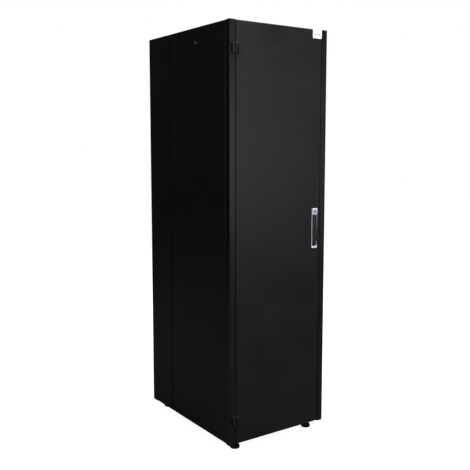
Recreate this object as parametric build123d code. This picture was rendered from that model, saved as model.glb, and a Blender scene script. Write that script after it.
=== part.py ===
from build123d import *
import os
from math import atan, cos, pi, radians, sin, tan

# A free-standing 42-unit network cabinet, 600 mm wide, with a solid steel front door.
# Millimetres. +X is to the right seen from the front, +Y goes to the rear, +Z is up.
# The origin is on the floor, under the middle of the cabinet's body.

# Body
WIDTH = 600.0
DEPTH = 790.0
BODY_HEIGHT = 2050.0
GROUND_GAP = 40.0
SHEET = 1.5
EDGE_RADIUS = 3.0

# Corner posts, rolled from sheet, with a step that takes the side panel
POST_FACE = 33.5
POST_SIDE = 35.0
POST_DEPTH = 65.0
POST_STEP = 16.0
POST_WALL = 2.0
POST_BEND = 2.5
REAR_POST_DEPTH = 45.0

# Frame bars
BAR_HEIGHT = 40.0
BAR_DEPTH = 60.0
BAR_WALL = 2.0
UPRIGHT_DEPTH = 40.0
LEDGE = 12.0
LEDGE_THICKNESS = 3.0

# Doors
DOOR_THICKNESS = 20.0
DOOR_GAP = 3.0
DOOR_TOP_DROP = 1.0
DOOR_BOTTOM_RISE = 4.0
DOOR_LIP = 9.5
GASKET_THICKNESS = 3.0
GASKET_WIDTH = 7.5
STIFFENER_WIDTH = 40.0
STIFFENER_DEPTH = 14.0
STIFFENER_X = 120.0
STIFFENER_END_GAP = 20.0
DOOR_SLOT_END = 120.0
DOOR_SLOT_COLUMN = 130.0

# Side panels
PANEL_PROUD = 1.8
PANEL_FRONT_GAP = 1.0
PANEL_LENGTH = 523.0
PANEL_LIP = 14.0
SEAM = 8.0

# Roof and floor
ROOF_DEPTH = 18.0
ROOF_GAP = 1.0
SLOT_LENGTH = 60.0
SLOT_WIDTH = 6.0
SLOT_PITCH = 14.0
SLOT_COUNT = 9
ENTRY_LENGTH = 300.0
ENTRY_WIDTH = 100.0
ENTRY_INSET = 180.0
TRIM_WIDTH = 8.0
TRIM_THICKNESS = 3.0
SLOT_ROW_X = 110.0
SLOT_FIRST_Y = -200.0
ANCHOR_X = 180.0
ANCHOR_INSET_Y = 53.0
ANCHOR_RADIUS = 5.0

# Mounting rails, to the 19 inch pattern
UNIT = 44.45
UNITS = 42
HOLE_SPACING = 465.1
HOLE_SIDE = 9.5
RAIL_OPENING = 450.0
RAIL_WALL = 2.0
RAIL_EDGE = 4.2
RAIL_FLOOR_GAP = 10.0
RAIL_FLANGE = 45.0
RAIL_MARGIN = 32.0
RAIL_SETBACK_FRONT = 100.0
RAIL_SETBACK_REAR = 130.0
RAIL_TRAVEL = 120.0
DEPTH_RAIL_HEIGHT = 50.0
DEPTH_RAIL_LEVELS = (180.0, 1065.0, 1950.0)
DEPTH_RAIL_FRONT = 45.0
DEPTH_RAIL_SEAL_GAP = 2.0

# Hinges
HINGE_WIDTH = 45.0
HINGE_HEIGHT = 43.0
HINGE_PROUD = 9.0
HINGE_PIN_RADIUS = 2.5
HINGE_KNUCKLE = 4.5
HINGE_RELIEF = 8.0
HINGE_OFFSET = 5.0
HINGE_SPLIT = 1.0
HINGE_LOW = 163.5
HINGE_HIGH = 1961.0
BLANK_HEIGHT = 26.0
BLANK_WIDTH = 22.0

# Swing handle
HANDLE_INSET = 36.0
HANDLE_WIDTH = 36.0
HANDLE_HEIGHT = 206.0
HANDLE_LOW = 982.0
BEZEL_PROUD = 2.5
DISH_WIDTH = 28.0
DISH_DEPTH = 14.0
DISH_WALL = 2.0
PIVOT_RISE = 25.0
CAP_HEIGHT = 32.0
CAP_PROUD = 6.5
LEVER_WIDTH = 24.0
LEVER_THICKNESS = 7.0
LEVER_EYE = 16.0
LEVER_GAP = 0.5
SCOOP_LENGTH = 34.0
HUB_RADIUS = 14.0
HUB_DISC = 3.0
SHAFT_RADIUS = 7.0
LEVER_PIN_RADIUS = 1.5
COVER_RADIUS = 9.0
COVER_THICKNESS = 1.5
COVER_PIVOT_RISE = 10.5
COVER_EAR_RADIUS = 2.5
COVER_STUD_RADIUS = 1.0
CYLINDER_RADIUS = 8.0

# Rack and pinion behind the handle
MODULE = 2.0
TEETH = 12
PRESSURE_ANGLE = 20.0
GEAR_WIDTH = 8.0
RACK_ADDENDUM = 1.2
PINION_ADDENDUM = 1.8
TOOTH_BACKLASH = 0.5
ROOT_CLEARANCE = 0.5
RACK_TEETH = 9
RACK_BACK = 3.0
ROD_RADIUS = 3.5
GUIDE_WIDTH = 12.0
GUIDE_HEIGHT = 16.0
GUIDE_STEPS = (60.0, 450.0)
KEEPER_THICKNESS = 2.0
KEEPER_PLAY = 1.0
KEEPER_WIDTH = 36.0
KEEPER_DEPTH = 24.0
ROD_SETBACK = 30.0
ROD_END_GAP = 1.0
GEARBOX_WALL = 2.0
GEARBOX_HALF_HEIGHT = 36.0

# Locks on the side panels and the rear door
TOP_BAR_CLEAR = 20.0
SIDE_LOCK_DROP = 85.0
SIDE_LOCK_REAR = 297.5
SIDE_LOCK_RADIUS = 12.5
REAR_LOCK_INSET = 30.0
REAR_LOCK_HEIGHT = 1115.0
CAM_THICKNESS = 2.5
CAM_WIDTH = 14.0
CAM_END_GAP = 2.0

# Levelling feet
FOOT_INSET_X = 68.0
FOOT_INSET_Y = 56.0
FOOT_RADIUS = 24.5
FOOT_PAD_HEIGHT = 17.0
FOOT_RIM_HEIGHT = 14.0
FOOT_BOSS_RADIUS = 12.5
FOOT_SOCKET_LOW = 5.0
FOOT_ROUNDING = 2.5
HEX_GAP = 2.0
HEX_HEIGHT = 8.0
STUD_RADIUS = 6.0
STUD_HEX = 19.0
INSERT_RADIUS = 10.0
INSERT_HEIGHT = 10.0

# Fasteners and fits
RUNNING_FIT = 0.1
LOOSE_FIT = 0.3
SCREW_RADIUS = 3.0
SCREW_HEAD_RADIUS = 6.0
SCREW_HEAD_HEIGHT = 3.0
EARTH_BAR_LENGTH = 200.0
LABEL_WIDTH = 58.0
LABEL_HEIGHT = 43.0
LABEL_THICKNESS = 0.8

# Places worked out from the sizes above
HALF = WIDTH / 2
FRONT = -DEPTH / 2
REAR = DEPTH / 2
BOTTOM = GROUND_GAP
TOP = GROUND_GAP + BODY_HEIGHT
POST_INNER = HALF - POST_FACE
STEP_X = HALF - POST_STEP
DOOR_HALF = POST_INNER - DOOR_GAP
DOOR_LOW = BOTTOM + DOOR_BOTTOM_RISE
DOOR_HIGH = TOP - DOOR_TOP_DROP
BAR_FRONT = FRONT + DOOR_THICKNESS + GASKET_THICKNESS
DEPTH_RAIL_END = REAR - DOOR_THICKNESS - GASKET_THICKNESS - DEPTH_RAIL_SEAL_GAP
TOP_BAR_HIGH = DOOR_HIGH - ROOF_DEPTH
TOP_BAR_LOW = TOP_BAR_HIGH - BAR_HEIGHT
FLOOR_Z = BOTTOM + BAR_HEIGHT
PANEL_FRONT = FRONT + POST_SIDE + PANEL_FRONT_GAP
PANEL_REAR = PANEL_FRONT + PANEL_LENGTH
REAR_PANEL_FRONT = PANEL_REAR + SEAM
RAIL_X = HOLE_SPACING / 2 + HOLE_SIDE / 2 + RAIL_EDGE
RAIL_LOW = FLOOR_Z + RAIL_FLOOR_GAP
RAIL_HIGH = RAIL_LOW + UNITS * UNIT + 2 * RAIL_MARGIN
HANDLE_X = DOOR_HALF - HANDLE_INSET
PIVOT_Z = HANDLE_LOW + PIVOT_RISE
CAP_Z = HANDLE_LOW + HANDLE_HEIGHT - CAP_HEIGHT / 2
PITCH_RADIUS = MODULE * TEETH / 2
HINGE_X = POST_INNER - HINGE_SPLIT
ROD_X = PITCH_RADIUS + MODULE + RACK_BACK / 2


def block(x0, x1, y0, y1, z0, z1):
    """A box between two corners."""
    size = (abs(x1 - x0), abs(y1 - y0), abs(z1 - z0))
    return Pos((x0 + x1) / 2, (y0 + y1) / 2, (z0 + z1) / 2) * Box(*size)


def rod_z(x, y, z0, z1, radius):
    """A round bar that stands along Z."""
    return Pos(x, y, (z0 + z1) / 2) * Cylinder(radius, z1 - z0)


def rod_y(x, z, y0, y1, radius):
    """A round bar that lies along Y."""
    return Pos(x, (y0 + y1) / 2, z) * Rot(90, 0, 0) * Cylinder(radius, y1 - y0)


def rod_x(y, z, x0, x1, radius):
    """A round bar that lies along X."""
    return Pos((x0 + x1) / 2, y, z) * Rot(0, 90, 0) * Cylinder(radius, abs(x1 - x0))


def tube(x0, x1, y0, y1, z0, z1, wall, along):
    """A rectangular tube, open at both ends of the named axis."""
    grow = {"x": (0, wall, wall), "y": (wall, 0, wall), "z": (wall, wall, 0)}[along]
    outer = block(x0, x1, y0, y1, z0, z1)
    inner = block(x0 + grow[0], x1 - grow[0], y0 + grow[1], y1 - grow[1], z0 + grow[2], z1 - grow[2])
    return outer - inner


def mirrored(shape):
    """The same shape on the other side of the cabinet."""
    return mirror(shape, about=Plane.YZ)


def turned(shape):
    """The same shape turned from the front to the rear."""
    return Rot(0, 0, 180) * shape


def round_front(shape, radius):
    """Round the four edges of the foremost face."""
    face = shape.faces().sort_by(Axis.Y)[0]
    return fillet(face.edges(), radius)


def save(node, *shapes):
    """Write one node, made of the given separate solids."""
    solids = [solid for shape in shapes for solid in shape.solids()]
    export_step(Compound(children=solids), f"parts/{node}.step")


# Frame

def front_post():
    """The left front post: a closed rolled section with a step behind the visible face."""
    outline = Polyline(
        (-HALF, FRONT), (-POST_INNER, FRONT), (-POST_INNER, FRONT + POST_DEPTH),
        (-STEP_X, FRONT + POST_DEPTH), (-STEP_X, FRONT + POST_SIDE), (-HALF, FRONT + POST_SIDE), close=True)
    face = make_face(outline)
    core = offset(face, -POST_WALL, kind=Kind.INTERSECTION)
    inside_corner = face.vertices().sort_by_distance(Vector(-STEP_X, FRONT + POST_SIDE, 0))[0]
    skin = fillet([corner for corner in face.vertices() if corner != inside_corner], POST_BEND)
    body = extrude(skin, BODY_HEIGHT) - extrude(core, BODY_HEIGHT - POST_WALL)
    return Pos(0, 0, BOTTOM) * body


def hinge_window(z):
    """The cut-out for a hinge blank in the left post's face."""
    x = -(POST_INNER + POST_FACE / 2)
    return block(x - BLANK_WIDTH / 2, x + BLANK_WIDTH / 2, FRONT - 1, FRONT + POST_WALL, z - BLANK_HEIGHT / 2,
                 z + BLANK_HEIGHT / 2)


def hinge_blank(z):
    """A flush cover for an unused hinge cut-out, held by a lip behind the post's wall."""
    x = -(POST_INNER + POST_FACE / 2)
    half_w = BLANK_WIDTH / 2 - LOOSE_FIT
    half_h = BLANK_HEIGHT / 2 - LOOSE_FIT
    plate = block(x - half_w, x + half_w, FRONT, FRONT + POST_WALL, z - half_h, z + half_h)
    lip = block(x - half_w - SHEET, x + half_w + SHEET, FRONT + POST_WALL, FRONT + POST_WALL + SHEET,
                z - half_h - SHEET, z + half_h + SHEET)
    return plate + lip


def rear_post():
    """The left rear post, behind the fixed rear side panel."""
    return tube(-HALF + SHEET, -POST_INNER, REAR - SHEET - REAR_POST_DEPTH, REAR - SHEET, BOTTOM,
                DOOR_HIGH - SHEET, POST_WALL, "z")


def cross_bar(z):
    """A bar between the front posts, with its lower face at z."""
    return tube(-POST_INNER, POST_INNER, BAR_FRONT, BAR_FRONT + BAR_DEPTH, z, z + BAR_HEIGHT, BAR_WALL, "x")


def side_bar(z):
    """The left bar between front and rear posts, with its lower face at z."""
    return tube(-STEP_X, -POST_INNER, FRONT + POST_DEPTH, REAR - SHEET - REAR_POST_DEPTH, z, z + BAR_HEIGHT,
                BAR_WALL, "y")


def foot_places():
    """The plan positions of the four feet, front left first."""
    x = HALF - FOOT_INSET_X
    y = FRONT + FOOT_INSET_Y
    return {"front_left": (-x, y), "front_right": (x, y), "rear_left": (-x, -y), "rear_right": (x, -y)}


def base_frame():
    """The four bars of the base, with the ledges that the side panels stand on."""
    front = cross_bar(BOTTOM)
    for x, y in foot_places().values():
        if y < 0:
            front -= rod_z(x, y, BOTTOM - 1, BOTTOM + BAR_WALL + 1, STUD_RADIUS + LOOSE_FIT)
    for x in (-ANCHOR_X, ANCHOR_X):
        front -= rod_z(x, FRONT + ANCHOR_INSET_Y, BOTTOM - 1, BOTTOM + BAR_WALL + 1, ANCHOR_RADIUS)
    keeper_hole = rod_z(HANDLE_X + ROD_X, FRONT + ROD_SETBACK, FLOOR_Z - BAR_WALL - 1, FLOOR_Z + 1,
                        ROD_RADIUS + KEEPER_PLAY)
    rear = turned(front)
    ledge = block(-STEP_X - LEDGE, -STEP_X, PANEL_FRONT, PANEL_REAR, DOOR_LOW - LEDGE_THICKNESS, DOOR_LOW)
    side = side_bar(BOTTOM) + ledge
    return [front - keeper_hole, rear, side, mirrored(side)]


def top_frame():
    """The four bars under the roof."""
    bar = cross_bar(TOP_BAR_LOW)
    keeper_hole = rod_z(HANDLE_X - ROD_X, FRONT + ROD_SETBACK, TOP_BAR_LOW - 1, TOP_BAR_LOW + BAR_WALL + 1,
                        ROD_RADIUS + KEEPER_PLAY)
    side = side_bar(TOP_BAR_LOW)
    return [bar - keeper_hole, turned(bar), side, mirrored(side)]


def seam_upright():
    """The left upright behind the seam between the side panels."""
    middle = (PANEL_REAR + REAR_PANEL_FRONT) / 2
    return tube(-STEP_X, -POST_INNER, middle - UPRIGHT_DEPTH / 2, middle + UPRIGHT_DEPTH / 2, FLOOR_Z,
                TOP_BAR_LOW, BAR_WALL, "z")


def rail_bolt_places():
    """The Y places of the rail bolts on a depth rail: the front rail's, then the rear rail's."""
    return (FRONT + RAIL_SETBACK_FRONT + RAIL_FLANGE / 2, REAR - RAIL_SETBACK_REAR - RAIL_FLANGE / 2)


def depth_rail(level):
    """A left depth rail: a tube with two slots that the mounting rails' bolts slide in."""
    body = tube(-POST_INNER, -RAIL_X, FRONT + DEPTH_RAIL_FRONT, DEPTH_RAIL_END,
                level - DEPTH_RAIL_HEIGHT / 2, level + DEPTH_RAIL_HEIGHT / 2, BAR_WALL, "y")
    front_y, rear_y = rail_bolt_places()
    half = SCREW_RADIUS + 1
    for y0, y1 in ((front_y, front_y + RAIL_TRAVEL), (rear_y - RAIL_TRAVEL, rear_y)):
        body -= block(-RAIL_X - BAR_WALL - 1, -RAIL_X + 1, y0 - half, y1 + half, level - half, level + half)
    return body


def roof_panel():
    """The roof: a tray turned down at its edges, with rows of slots and a cable entry."""
    x = STEP_X - ROOF_GAP
    y = REAR - DOOR_THICKNESS - GASKET_THICKNESS - ROOF_GAP
    corner_x = POST_INNER - ROOF_GAP
    outer = block(-x, x, -y, y, TOP_BAR_HIGH, DOOR_HIGH)
    hollow = block(-x + SHEET, x - SHEET, -y + SHEET, y - SHEET, TOP_BAR_HIGH, DOOR_HIGH - SHEET)
    for side in (-1, 1):
        for cut_y in (FRONT + POST_DEPTH + ROOF_GAP, REAR - SHEET - REAR_POST_DEPTH - ROOF_GAP):
            end = -1 if cut_y < 0 else 1
            outer -= block(side * corner_x, side * HALF, cut_y, end * REAR, TOP_BAR_HIGH, DOOR_HIGH)
            wall = end * SHEET
            hollow -= block(side * (corner_x - SHEET), side * HALF, cut_y - wall, end * REAR, TOP_BAR_HIGH,
                            DOOR_HIGH)
    tray = outer - hollow
    for row in (-1, 1):
        for index in range(SLOT_COUNT):
            slot_x = row * SLOT_ROW_X
            slot_y = SLOT_FIRST_Y + index * SLOT_PITCH
            tray -= block(slot_x - SLOT_LENGTH, slot_x + SLOT_LENGTH, slot_y - SLOT_WIDTH / 2,
                          slot_y + SLOT_WIDTH / 2, DOOR_HIGH - SHEET - 1, DOOR_HIGH + 1)
    return tray - cable_entry(DOOR_HIGH)


def cable_entry(z):
    """The volume that the cable entry takes out of a sheet near z."""
    y = REAR - ENTRY_INSET
    return block(-ENTRY_LENGTH / 2, ENTRY_LENGTH / 2, y - ENTRY_WIDTH / 2, y + ENTRY_WIDTH / 2, z - 10, z + 10)


def cable_entry_trim(z):
    """The rubber trim round a cable entry, on the sheet at z."""
    y = REAR - ENTRY_INSET
    x1 = ENTRY_LENGTH / 2 + TRIM_WIDTH
    y1 = ENTRY_WIDTH / 2 + TRIM_WIDTH
    return block(-x1, x1, y - y1, y + y1, z, z + TRIM_THICKNESS) - cable_entry(z)


def floor_panel():
    """The floor sheet on the base bars, with its cable entry and a row of slots."""
    half_y = REAR - DOOR_THICKNESS - GASKET_THICKNESS - BAR_DEPTH / 2
    sheet = block(-POST_INNER + ROOF_GAP, POST_INNER - ROOF_GAP, -half_y, half_y, FLOOR_Z, FLOOR_Z + SHEET)
    for index in range(SLOT_COUNT):
        slot_y = SLOT_FIRST_Y + index * SLOT_PITCH
        sheet -= block(-SLOT_LENGTH, SLOT_LENGTH, slot_y - SLOT_WIDTH / 2, slot_y + SLOT_WIDTH / 2,
                       FLOOR_Z - 1, FLOOR_Z + SHEET + 1)
    return sheet - cable_entry(FLOOR_Z)


def rear_side_panel():
    """The fixed left rear side panel, bent round the rear corner."""
    side = block(-HALF, -HALF + SHEET, REAR_PANEL_FRONT, REAR, DOOR_LOW, DOOR_HIGH)
    seam_flange = block(-HALF, -STEP_X, REAR_PANEL_FRONT, REAR_PANEL_FRONT + SHEET, DOOR_LOW, DOOR_HIGH)
    rear_flange = block(-HALF, -POST_INNER, REAR - SHEET, REAR, DOOR_LOW, DOOR_HIGH)
    top_side = block(-HALF, -STEP_X, REAR_PANEL_FRONT, REAR, DOOR_HIGH - SHEET, DOOR_HIGH)
    top_corner = block(-HALF, -POST_INNER, REAR - SHEET - REAR_POST_DEPTH, REAR, DOOR_HIGH - SHEET, DOOR_HIGH)
    return side + seam_flange + rear_flange + top_side + top_corner


# Mounting rails

def mounting_rail(front_y, inward):
    """A left mounting rail: a perforated face with a flange that runs rearwards (inward = 1) or forwards."""
    face = block(-RAIL_X, -RAIL_OPENING / 2, front_y, front_y + inward * RAIL_WALL, RAIL_LOW, RAIL_HIGH)
    hole_x = -HOLE_SPACING / 2
    first = RAIL_LOW + RAIL_MARGIN
    depth = 3 * RAIL_WALL
    hole = Box(HOLE_SIDE, depth, HOLE_SIDE)
    rises = [unit * UNIT + step for unit in range(UNITS) for step in (UNIT / 7, UNIT / 2, UNIT * 6 / 7)]
    holes = [Pos(hole_x, front_y + inward * RAIL_WALL / 2, first + rise) * hole for rise in rises]
    flange = block(-RAIL_X, -RAIL_X + RAIL_WALL, front_y, front_y + inward * RAIL_FLANGE, RAIL_LOW, RAIL_HIGH)
    rail = (face - holes) + flange
    bolt_y = front_y + inward * RAIL_FLANGE / 2
    for level in DEPTH_RAIL_LEVELS:
        rail -= rod_x(bolt_y, level, -RAIL_X - 1, -RAIL_X + RAIL_WALL + 1, SCREW_RADIUS + LOOSE_FIT)
    return rail


def rail_bolt(y, level):
    """A bolt from the mounting rail into the depth rail, with its square nut inside the tube."""
    inner = -RAIL_X - BAR_WALL
    head = rod_x(y, level, -RAIL_X + RAIL_WALL, -RAIL_X + RAIL_WALL + SCREW_HEAD_HEIGHT, SCREW_HEAD_RADIUS)
    shank = rod_x(y, level, inner - 8, -RAIL_X + RAIL_WALL, SCREW_RADIUS)
    nut = block(inner - 5, inner, y - 8, y + 8, level - 8, level + 8)
    return head + shank + nut


def rail_pair(front_y, inward):
    """Both rails of a pair, and their bolts."""
    rail = mounting_rail(front_y, inward)
    bolts = [rail_bolt(front_y + inward * RAIL_FLANGE / 2, level) for level in DEPTH_RAIL_LEVELS]
    return [rail, mirrored(rail)], bolts + [mirrored(bolt) for bolt in bolts]


# Doors

def door_tray():
    """A door skin: sheet with folded edges and a lip that turns in behind them."""
    outer = block(-DOOR_HALF, DOOR_HALF, FRONT, FRONT + DOOR_THICKNESS, DOOR_LOW, DOOR_HIGH)
    outer = round_front(outer, EDGE_RADIUS)
    hollow = block(-DOOR_HALF + SHEET, DOOR_HALF - SHEET, FRONT + SHEET, FRONT + DOOR_THICKNESS - SHEET,
                   DOOR_LOW + SHEET, DOOR_HIGH - SHEET)
    hollow = round_front(hollow, EDGE_RADIUS - SHEET)
    window = block(-DOOR_HALF + DOOR_LIP, DOOR_HALF - DOOR_LIP, FRONT + DOOR_THICKNESS - 2 * SHEET,
                   FRONT + DOOR_THICKNESS + 1, DOOR_LOW + DOOR_LIP, DOOR_HIGH - DOOR_LIP)
    return outer - hollow - window


def front_door_skin():
    """The front door's skin, cut out for the handle's dish and its boss."""
    dish = DISH_WIDTH / 2 + DISH_WALL + LOOSE_FIT
    cut = block(HANDLE_X - dish, HANDLE_X + dish, FRONT - 1, FRONT + SHEET + 1,
                HANDLE_LOW + 4, HANDLE_LOW + HANDLE_HEIGHT - 4)
    return door_tray() - cut


def rear_door_skin():
    """The rear door's skin, with rows of slots low and high, and a hole for its lock."""
    skin = door_tray()
    for base in (DOOR_LOW + DOOR_SLOT_END, DOOR_HIGH - DOOR_SLOT_END - SLOT_COUNT * SLOT_PITCH):
        for index in range(SLOT_COUNT):
            z = base + index * SLOT_PITCH
            for x in (-DOOR_SLOT_COLUMN, 0.0, DOOR_SLOT_COLUMN):
                skin -= block(x - SLOT_LENGTH / 2, x + SLOT_LENGTH / 2, FRONT - 1, FRONT + SHEET + 1,
                              z, z + SLOT_WIDTH)
    hole = rod_y(DOOR_HALF - REAR_LOCK_INSET, REAR_LOCK_HEIGHT, FRONT - 1, FRONT + SHEET + 1,
                 CYLINDER_RADIUS + LOOSE_FIT)
    return turned(skin - hole)


def door_stiffener(x):
    """A hat section that stands on the inside of a door."""
    base = FRONT + SHEET
    low = DOOR_LOW + DOOR_LIP + STIFFENER_END_GAP
    high = DOOR_HIGH - DOOR_LIP - STIFFENER_END_GAP
    outer = block(x - STIFFENER_WIDTH / 2, x + STIFFENER_WIDTH / 2, base, base + STIFFENER_DEPTH, low, high)
    hollow = block(x - STIFFENER_WIDTH / 2 + SHEET, x + STIFFENER_WIDTH / 2 - SHEET, base - 1,
                   base + STIFFENER_DEPTH - SHEET, low - 1, high + 1)
    return outer - hollow


def door_gasket():
    """The foam strip on the back of the door's lip."""
    back = FRONT + DOOR_THICKNESS
    x = DOOR_HALF - SHEET
    outer = block(-x, x, back, back + GASKET_THICKNESS, DOOR_LOW + SHEET, DOOR_HIGH - SHEET)
    inner = block(-x + GASKET_WIDTH, x - GASKET_WIDTH, back - 1, back + GASKET_THICKNESS + 1,
                  DOOR_LOW + SHEET + GASKET_WIDTH, DOOR_HIGH - SHEET - GASKET_WIDTH)
    return outer - inner


def label_plate():
    """The blank plate in the door's upper corner."""
    x1 = DOOR_HALF - 1.0
    z1 = DOOR_HIGH - 1.0
    plate = block(x1 - LABEL_WIDTH, x1, FRONT - LABEL_THICKNESS, FRONT, z1 - LABEL_HEIGHT, z1)
    return plate


# Hinges

def hinge_half(z, side, knuckle_half):
    """One leaf of a hinge. Side -1 is the post's leaf, 1 the door's; knuckle_half is -1 low or 1 high."""
    y0 = FRONT - HINGE_PROUD
    axis_y = FRONT - HINGE_OFFSET
    far = HINGE_X + side * -HINGE_WIDTH / 2
    far_x = -far
    half_h = HINGE_HEIGHT / 2
    near_x = -HINGE_X + side * HINGE_RELIEF
    leaf = block(min(near_x, far_x), max(near_x, far_x), y0, FRONT, z - half_h, z + half_h)
    front_edges = leaf.faces().sort_by(Axis.Y)[0].edges()
    leaf = fillet(front_edges, 1.5)
    z0, z1 = (z - half_h, z - LOOSE_FIT / 2) if knuckle_half < 0 else (z + LOOSE_FIT / 2, z + half_h)
    neck = block(min(near_x, -HINGE_X), max(near_x, -HINGE_X), axis_y - HINGE_KNUCKLE + 0.5, FRONT, z0, z1)
    knuckle = rod_z(-HINGE_X, axis_y, z0, z1, HINGE_KNUCKLE)
    bore = rod_z(-HINGE_X, axis_y, z0 - 1, z1 + 1, HINGE_PIN_RADIUS + RUNNING_FIT)
    return leaf + neck + knuckle - bore


def hinge_pin(z):
    """A hinge pin, with a small head on top."""
    axis_y = FRONT - HINGE_OFFSET
    half_h = HINGE_HEIGHT / 2
    pin = rod_z(-HINGE_X, axis_y, z - half_h, z + half_h, HINGE_PIN_RADIUS)
    head = rod_z(-HINGE_X, axis_y, z + half_h, z + half_h + 1.5, HINGE_KNUCKLE - 1)
    return pin + head


# Swing handle

def handle_housing():
    """The handle's surround, its dish behind the lever and the boss that carries the hub."""
    x0, x1 = HANDLE_X - HANDLE_WIDTH / 2, HANDLE_X + HANDLE_WIDTH / 2
    z0, z1 = HANDLE_LOW, HANDLE_LOW + HANDLE_HEIGHT
    plate = round_front(block(x0, x1, FRONT - BEZEL_PROUD, FRONT, z0, z1), 1.0)
    dish_low = PIVOT_Z + HUB_RADIUS + 4
    half = DISH_WIDTH / 2
    shell = block(HANDLE_X - half - DISH_WALL, HANDLE_X + half + DISH_WALL, FRONT, FRONT + DISH_DEPTH,
                  z0 + 5, z1 - 5)
    dish = block(HANDLE_X - half, HANDLE_X + half, FRONT - BEZEL_PROUD - 1, FRONT + DISH_DEPTH - DISH_WALL,
                 dish_low, z1 - CAP_HEIGHT - 2)
    hub_seat = rod_y(HANDLE_X, PIVOT_Z, FRONT - BEZEL_PROUD - 1, FRONT - BEZEL_PROUD + HUB_DISC,
                     HUB_RADIUS + LOOSE_FIT)
    shaft_bore = rod_y(HANDLE_X, PIVOT_Z, FRONT - BEZEL_PROUD - 1, FRONT + DISH_DEPTH + 1,
                       SHAFT_RADIUS + RUNNING_FIT)
    lock_bore = rod_y(HANDLE_X, CAP_Z, FRONT - BEZEL_PROUD - 1, FRONT + DISH_DEPTH + 1,
                      CYLINDER_RADIUS + RUNNING_FIT)
    return plate + shell - dish - hub_seat - shaft_bore - lock_bore


def lock_cap():
    """The square cap over the lock, with the hole that the key goes through."""
    half = HANDLE_WIDTH / 2 - 1.5
    z1 = HANDLE_LOW + HANDLE_HEIGHT
    cap = round_front(block(HANDLE_X - half, HANDLE_X + half, FRONT - CAP_PROUD, FRONT - BEZEL_PROUD,
                            z1 - CAP_HEIGHT, z1 - 1), 1.5)
    stud = rod_y(HANDLE_X, CAP_Z + COVER_PIVOT_RISE, FRONT - CAP_PROUD - COVER_THICKNESS, FRONT - CAP_PROUD + 1,
                 COVER_STUD_RADIUS)
    return cap - rod_y(HANDLE_X, CAP_Z, FRONT - CAP_PROUD - 1, FRONT, CYLINDER_RADIUS + RUNNING_FIT) + stud


def lock_cover():
    """The round cover that swings aside on its pivot stud."""
    y1 = FRONT - CAP_PROUD
    disc = rod_y(HANDLE_X, CAP_Z, y1 - COVER_THICKNESS, y1, COVER_RADIUS)
    disc = fillet(disc.faces().sort_by(Axis.Y)[0].edges(), 0.4)
    pivot_z = CAP_Z + COVER_PIVOT_RISE
    ear = rod_y(HANDLE_X, pivot_z, y1 - COVER_THICKNESS, y1, COVER_EAR_RADIUS)
    hole = rod_y(HANDLE_X, pivot_z, y1 - COVER_THICKNESS - 1, y1 + 1, COVER_STUD_RADIUS + RUNNING_FIT)
    return disc + ear - hole


def key_cylinder():
    """The lock's cylinder with a keyway, and the cam on its rear end."""
    y0 = FRONT - CAP_PROUD + 1
    y1 = FRONT + DISH_DEPTH + 1
    body = rod_y(HANDLE_X, CAP_Z, y0, y1, CYLINDER_RADIUS)
    keyway = block(HANDLE_X - 1, HANDLE_X + 1, y0 - 1, y0 + 8, CAP_Z - 4.5, CAP_Z + 4.5)
    cam = block(HANDLE_X - CAM_WIDTH / 2, HANDLE_X + CAM_WIDTH / 2, y1, y1 + CAM_THICKNESS,
                CAP_Z - CAM_WIDTH / 2, CAP_Z + 26)
    return [body - keyway, cam]


def lift_axis_y():
    """Where the lever's pin lies in front of the door."""
    return FRONT - BEZEL_PROUD - LEVER_THICKNESS / 2 - LEVER_GAP


def handle_hub():
    """The turning hub: a disc with two cheeks for the lever's pin, and the shaft through the door."""
    y = lift_axis_y()
    face = FRONT - BEZEL_PROUD
    disc = rod_y(HANDLE_X, PIVOT_Z, face - 0.2, face + HUB_DISC, HUB_RADIUS)
    cheeks = []
    for side in (-1, 1):
        inner = HANDLE_X + side * (LEVER_EYE / 2 + LOOSE_FIT)
        outer = HANDLE_X + side * LEVER_WIDTH / 2
        cheek = rod_x(y, PIVOT_Z, inner, outer, LEVER_THICKNESS / 2)
        foot = block(inner, outer, y, face, PIVOT_Z - LEVER_THICKNESS / 2, PIVOT_Z + LEVER_THICKNESS / 2)
        cheeks.append(cheek + foot)
    shaft = rod_y(HANDLE_X, PIVOT_Z, face + HUB_DISC, FRONT + ROD_SETBACK + GEAR_WIDTH, SHAFT_RADIUS)
    bore = rod_x(y, PIVOT_Z, HANDLE_X - LEVER_WIDTH, HANDLE_X + LEVER_WIDTH, LEVER_PIN_RADIUS + RUNNING_FIT / 2)
    return disc + cheeks + shaft - bore


def handle_lever():
    """The lever: an eye at its foot, a tapered neck and a grip with a finger scoop at its free end."""
    y = lift_axis_y()
    half_t = LEVER_THICKNESS / 2
    top = CAP_Z - CAP_HEIGHT / 2 - 2.5
    neck_high = PIVOT_Z + HUB_RADIUS + 6
    eye = rod_x(y, PIVOT_Z, HANDLE_X - LEVER_EYE / 2, HANDLE_X + LEVER_EYE / 2, half_t)
    neck = block(HANDLE_X - LEVER_EYE / 2, HANDLE_X + LEVER_EYE / 2, y - half_t, y + half_t, PIVOT_Z, neck_high)
    grip = round_front(block(HANDLE_X - LEVER_WIDTH / 2, HANDLE_X + LEVER_WIDTH / 2, y - half_t, y + half_t,
                             PIVOT_Z + LEVER_THICKNESS / 2 + 4, top), 2.0)
    scoop = block(HANDLE_X - LEVER_WIDTH / 2 + 4, HANDLE_X + LEVER_WIDTH / 2 - 4, y + 0.5, y + half_t + 1,
                  top - SCOOP_LENGTH, top - 5)
    reach = top - PIVOT_Z
    ring = rod_y(HANDLE_X, PIVOT_Z, y - LEVER_THICKNESS, y + LEVER_THICKNESS, reach)
    bore = rod_x(y, PIVOT_Z, HANDLE_X - LEVER_WIDTH, HANDLE_X + LEVER_WIDTH, LEVER_PIN_RADIUS + RUNNING_FIT)
    return ((eye + neck + grip) & ring) - scoop - bore


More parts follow.
